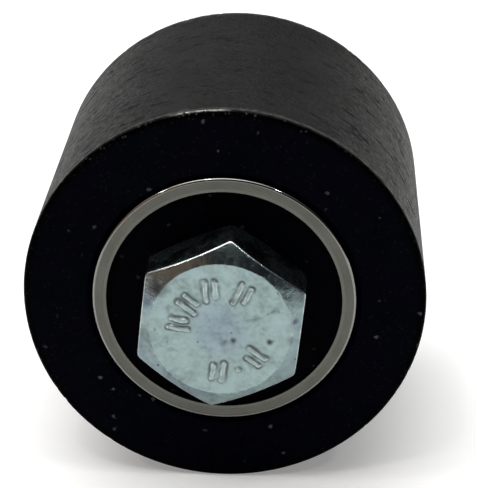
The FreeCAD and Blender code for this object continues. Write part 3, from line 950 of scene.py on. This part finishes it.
# dirt and painted shade on the head, from 0 to 1: broken lines of dirt and painted shade at the feet of the
# marks, and patches of dirt
def headDirtAndShade(x, z):
    look = headLook
    mx, mz = wandered(x, z)
    near = min(toStretch(mx, mz, *bar) for bar in headBars)
    line = max(0.0, 1 - abs(near - look["markWidth"] - look["markEdge"]) / look["dirtAndShadeReach"])
    kept = ripple(x, z, 1.3, 31.0) * look["lineSway"] + look["lineUsual"]
    kept = min(max(kept, look["lineLeast"]), 1.0)
    dirt = line * kept * look["dirtAndShadeStrength"]
    for sx, sz, reach, strength in look["stains"]:
        ragged = ripple(x, z, 2.2, 41 + sx) + 0.5 * ripple(x, z, 6.0, sx)
        far = math.hypot(x - sx, z - sz) / (reach * (1 + look["stainSway"] * ragged))
        dirt = max(dirt, strength * (1 - eased(far)))
    return dirt


# a hexagon's outline with slightly rounded corners, as a radius at each turn
def hexRadius(flats, turn, start, soft):
    total = 0.0
    for side in range(6):
        along = math.cos(turn - start - math.radians(30 + 60 * side))
        if along > 0:
            total += (along / (flats / 2)) ** soft
    return total ** (-1 / soft)


hexArcSteps = 5
flatMargins = (0.6, 0.4)  # flat rims kept inside the first and the last disc


# loops over a trimmed hexagon's flank from one end disc to the other; y runs from first to last
def hexFlank(look, first, firstDisc, last, lastDisc):
    slope = math.tan(math.radians(look["slope"]))
    sense = 1 if last > first else -1
    rounds = look["rounds"]
    rows = []
    for i in range(look["around"]):
        turn = fullTurn * i / look["around"]
        out = hexRadius(look["flats"], turn, math.radians(look["turn"]), look["cornerSoft"])
        section = softened([
            (firstDisc - flatMargins[0], first), (firstDisc, first, rounds[0]),
            (out, first + sense * (out - firstDisc) * slope, rounds[1]),
            (out, last - sense * (out - lastDisc) * slope, rounds[1]),
            (lastDisc, last, rounds[2]), (lastDisc - flatMargins[1], last),
        ], steps=hexArcSteps, closed=False)
        # more rows over the first chamfer, between the disc's rounded edge and the corner's
        edgeEnd, count = hexArcSteps + 1, look["chamferRows"]
        inner, outer = section[edgeEnd], section[edgeEnd + 1]
        section[edgeEnd + 1:edgeEnd + 1] = [inner.lerp(outer, (k + 1) / (count + 1)) for k in range(count)]
        rows.append([Vector((p.x * math.cos(turn), p.y, p.x * math.sin(turn))) for p in section])
    return [list(loop) for loop in zip(*rows)]


def makeBolt():
    look, thread = headLook, threadLook
    low, high = boxOf("hex_bolt")
    seat = boxOf("front_inner_ring")[0].y
    top, base, end = low.y, seat - look["washerFaceHeight"], high.y
    shank, start = thread["shank"], thread["start"]
    flank = hexFlank(look, top, look["disc"], base, look["underside"])
    edge = look["disc"] - flatMargins[0]
    disc = [[Vector((0, top, 0))]]
    for step in range(1, look["rings"]):
        count = look["around"] if step > look["rings"] // 4 else look["around"] // 4
        disc.append(loopAround(count, edge * step / look["rings"], top))
    skin = Skin()
    face, rounds = look["washerFace"], look["washerFaceRounds"]
    shankLoops = loopsOf(softened([
        (face + look["washerFaceLap"], base), (face, base, rounds[0]), (face, seat, rounds[1]),
        (shank + look["shankRing"], seat), (shank, seat, look["shankRound"]), (shank, start),
    ], steps=look["shankSteps"], closed=False), thread["around"])
    # the chamfer's finish ends half way round the corner's arc
    split = hexArcSteps + 2 + look["chamferRows"] + (hexArcSteps + 1) // 2
    discEnd = look["disc"] - look["discMargin"]
    skin.addLoops(disc + flank[:split], finishOf=lambda a, b: 0 if math.hypot(b.x, b.z) < discEnd else 2)
    skin.addLoops(flank[split - 1:] + shankLoops, finishOf=lambda a, b: 3)

    def radiusAt(turn, y):
        cut = threadCut(turn, y) * eased((y - start) / thread["runOut"])
        crest = shank + (thread["crest"] - shank) * eased(y - start)
        chamfered = thread["crest"] - thread["endChamfer"] + (end - y)
        return min(crest - cut * (thread["crest"] - thread["root"]), chamfered)

    skin.addThread(start, end, thread["around"], radiusAt, thread["samples"], finish=1)
    tip = thread["crest"] - thread["endChamfer"]
    tipRadii = (tip, tip - thread["tipStep"], tip / 2)
    tipLoops = [loopAround(thread["around"], radius, end) for radius in tipRadii]
    skin.addLoops(tipLoops + [[Vector((0, end, 0))]], finishOf=lambda a, b: 1)

    # the relief fades out before the head's rounded edge
    def stamped(p):
        radius = math.hypot(p.x, p.z)
        if p.y > top + look["reliefDepth"] or radius > look["disc"] + look["reliefReach"]:
            return p
        fade = 1 - eased((radius - look["disc"] + look["fadeStart"]) / look["fadeWidth"])
        return p - Vector((0, headRelief(p.x, p.z) * fade, 0))

    def dirtAndShadeAt(p):
        return headDirtAndShade(p.x, p.z) if p.y < top + look["dirtAndShadeDepth"] else 0.0

    made = skin.make("hexBoltForged", sharp=38, shift=stamped, dirtAndShadeAt=dirtAndShadeAt)
    for finish in ("boltHeadZinc", "boltThreadZinc", "boltChamferZincShaded", "boltSideZincShaded"):
        made.data.materials.append(zinc[finish])
    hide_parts("hex_bolt")
    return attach(made, "stud")


nutLook = {
    "around": 192, "flats": 13.0, "disc": 6.175, "slope": 30.0, "turn": 9.0, "cornerSoft": 48,
    "rounds": (0.15, 0.12, 0.15), "mouth": 4.2, "mouthRim": 0.5, "chamferRows": 2,
}


def makeNut():
    look, thread = nutLook, threadLook
    low, high = boxOf("jam_nut")
    first, last = low.y, high.y
    flank = hexFlank(look, first, look["disc"], last, look["disc"])
    count, mouth, rim = thread["around"], look["mouth"], look["mouth"] + look["mouthRim"]
    skin = Skin()
    skin.addLoops([loopAround(count, mouth, first), loopAround(count, rim, first)] + flank
                  + [loopAround(count, rim, last), loopAround(count, mouth, last)])

    # the groove of the bolt's thread with a little clearance, opened out at both mouths
    def radiusAt(turn, y):
        cut = threadCut(turn, y) * (thread["crest"] - thread["root"])
        return max(thread["crest"] - cut + thread["clearance"], mouth - min(y - first, last - y))

    skin.addThread(first, last, count, radiusAt, thread["samples"])
    made = skin.make("jamNutForged", sharp=38)
    made.data.materials.append(zinc["nutZinc"])
    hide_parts("jam_nut")
    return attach(made, "stud")


washerLook = {
    "around": 240, "bore": 4.2, "boreRound": 0.1, "edge": 0.2, "burr": 0.06, "longestRun": 0.3, "wave": 0.008,
    "waveFineness": 0.5,
}


def makeWasher():
    look = washerLook
    low, high = boxOf("flat_washer")
    rim = round(high.x, 2)
    section = softened([
        (look["bore"], low.y, look["boreRound"]), (rim, low.y, look["edge"]), (rim, high.y, look["burr"]),
        (look["bore"], high.y, look["burr"]),
    ], steps=5)
    skin = Skin()
    skin.addLoops(loopsOf(divided(section, look["longestRun"]), look["around"]), closed=True)

    def stampedFlat(p):
        return p + Vector((0, ripple(p.x, p.z, look["waveFineness"], 3) * look["wave"], 0))

    made = skin.make("flatWasherStamped", shift=stampedFlat)
    made.data.materials.append(zinc["washerZinc"])
    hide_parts("flat_washer")
    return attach(made, "stud")


print("pieces")
makeRoller()
for ring in ("front_outer_ring", "rear_outer_ring"):
    makeOuterRing(ring)
makeSeal("front_outboard_seal", -1)
makeSeal("rear_outboard_seal", 1)
makeBolt()
makeNut()
makeWasher()


# finishes of the pieces inside, by a word in the node's name; the first that fits is taken
keptFinishes = {
    "ball": steel["ballSteel"], "cage_rivets": steel["rivetSteel"], "cage": steel["cageSteel"],
    "seal_core": steel["sealCoreSteel"], "seal": rubber, "inner_ring": steel["innerRingSteel"],
    "inner_spacer": steel["spacerSteel"],
}

print("kept nodes")
for name, node in nodes.items():
    if node.hide_render:
        continue
    finish = next(value for key, value in keptFinishes.items() if key in name)
    node.data.materials.clear()
    node.data.materials.append(finish)


studio = {
    "floorSize": 6.0, "floorGap": 0.02, "floorTones": (shade(0.80, 0.80, 0.79), shade(0.82, 0.82, 0.81)),
    "floorGlow": 0.25, "seen": shade(1.0, 1.0, 1.0),
    # the mirrored room's brightness all round, in front and overhead, and how much brighter the left is
    "around": 0.096, "inFront": 0.1, "overhead": 0.85, "leftward": 0.85,
    "dim": shade(0.36, 0.37, 0.38), "warm": shade(3.8, 2.4, 1.6), "warmWay": (-0.695, -0.677, 0.244),
    # heights and depths between which each part of the room comes in
    "highRange": (0.33, 1.0), "frontRange": (-0.15, -0.5), "belowRange": (0.85, 0.6),
    "warmRange": (0.8, 0.95),
    # soft square lights that point at the origin: place and side in metres, power in watts
    "lights": {
        "overhead": ((-0.1, 0.12, 0.9), 1.2, 9.5),
        "lampLeft": ((-0.63, -0.34, 0.70), 0.06, 0.65),
        "lampMiddle": ((-0.20, -0.40, 0.89), 0.06, 0.65),
        "lampRight": ((0.49, -0.39, 0.78), 0.06, 0.65),
    },
    # the camera's place is in millimetres
    "lens": 139.17, "sensor": 36.0, "nearest": 0.01, "farthest": 20.0,
    "cameraPlace": (8.140, -154.18, 67.78), "cameraWay": (-0.04493, 0.91287, -0.40577),
}


# a pale floor under the roller, a little lighter where it is seen than where it lights the piece
def makeFloor():
    look = studio
    level = boxOf("roller")[0].z
    mesh = bpy.data.meshes.new("floor")
    work = bmesh.new()
    bmesh.ops.create_grid(work, x_segments=8, y_segments=8, size=look["floorSize"] / 2)
    work.to_mesh(mesh)
    work.free()
    floor = bpy.data.objects.new("floor", mesh)
    floor.location.z = (level - look["floorGap"]) * mm
    bpy.context.scene.collection.objects.link(floor)
    material, tree, shader = newFinish("paleFloor", Roughness=0.7, Specular_IOR_Level=0.2)
    cloud = effect(tree, "mottle", Spots_Per_mm=0.01, Contrast=0.4, Detail=3.0)["Tone"]
    feed(tree, shader, Base_Color=blend(tree, cloud, *look["floorTones"]))
    straight = put(tree, "ShaderNodeLightPath").outputs["Is Camera Ray"]
    strength = calc(tree, "MULTIPLY", straight, look["floorGlow"])
    glow = put(tree, "ShaderNodeEmission", {"Strength": strength}).outputs[0]
    both = put(tree, "ShaderNodeAddShader", {0: shader.outputs[0], 1: glow}).outputs[0]
    tree.links.new(both, tree.nodes["Material Output"].inputs["Surface"])
    mesh.materials.append(material)


# soft room: white where it is seen and dimmer where it is mirrored, and in front it is dim but for a
# warm patch at the left
def makeRoom():
    look = studio
    world = bpy.data.worlds.new("softRoom")
    bpy.context.scene.world = world
    world.use_nodes = True
    tree = world.node_tree
    tree.nodes.clear()
    way = put(tree, "ShaderNodeTexCoord").outputs["Generated"]
    parts = put(tree, "ShaderNodeSeparateXYZ", {0: way}).outputs
    high = smoothStep(tree, parts[2], *look["highRange"], 0.0, look["overhead"])
    front = smoothStep(tree, parts[1], *look["frontRange"])
    flag = calc(tree, "MULTIPLY", front, smoothStep(tree, parts[2], *look["belowRange"]))
    level = calc(tree, "ADD", look["around"], high)
    tilt = calc(tree, "SUBTRACT", 1.0, calc(tree, "MULTIPLY", parts[0], look["leftward"]))
    level = calc(tree, "MULTIPLY", level, tilt)
    level = put(tree, "ShaderNodeMix", {0: flag, 2: level, 3: look["inFront"]}, data_type="FLOAT").outputs[0]
    side = put(tree, "ShaderNodeVectorMath", {0: way, 1: look["warmWay"]}, operation="DOT_PRODUCT")
    dim = blend(tree, smoothStep(tree, side.outputs["Value"], *look["warmRange"]), look["dim"], look["warm"])
    tint = blend(tree, flag, shade(1.0, 1.0, 1.0), dim)
    mirrored = put(tree, "ShaderNodeBackground", {"Color": tint, "Strength": level}).outputs[0]
    seen = put(tree, "ShaderNodeBackground", {"Color": look["seen"], "Strength": 1.0}).outputs[0]
    straight = put(tree, "ShaderNodeLightPath").outputs["Is Camera Ray"]
    mixed = put(tree, "ShaderNodeMixShader", {0: straight, 1: mirrored, 2: seen}).outputs[0]
    put(tree, "ShaderNodeOutputWorld", {0: mixed})


def makeLight(name, place, side, power):
    data = bpy.data.lights.new(name, "AREA")
    data.shape = "RECTANGLE"
    data.size = data.size_y = side
    data.energy = power
    light = bpy.data.objects.new(name, data)
    light.location = place
    light.rotation_mode = "QUATERNION"
    light.rotation_quaternion = (-Vector(place)).to_track_quat("-Z", "Y")
    bpy.context.scene.collection.objects.link(light)


def makeCamera():
    look = studio
    data = bpy.data.cameras.new("camera")
    data.lens, data.sensor_width = look["lens"], look["sensor"]
    data.clip_start, data.clip_end = look["nearest"], look["farthest"]
    camera = bpy.data.objects.new("camera", data)
    camera.location = Vector(look["cameraPlace"]) * mm
    camera.rotation_mode = "QUATERNION"
    camera.rotation_quaternion = Vector(look["cameraWay"]).to_track_quat("-Z", "Y")
    bpy.context.scene.collection.objects.link(camera)
    bpy.context.scene.camera = camera


print("floor, light and camera")
makeFloor()
makeRoom()
for name, (place, side, power) in studio["lights"].items():
    makeLight(name, place, side, power)
makeCamera()
bpy.context.scene.view_settings.view_transform = "Standard"
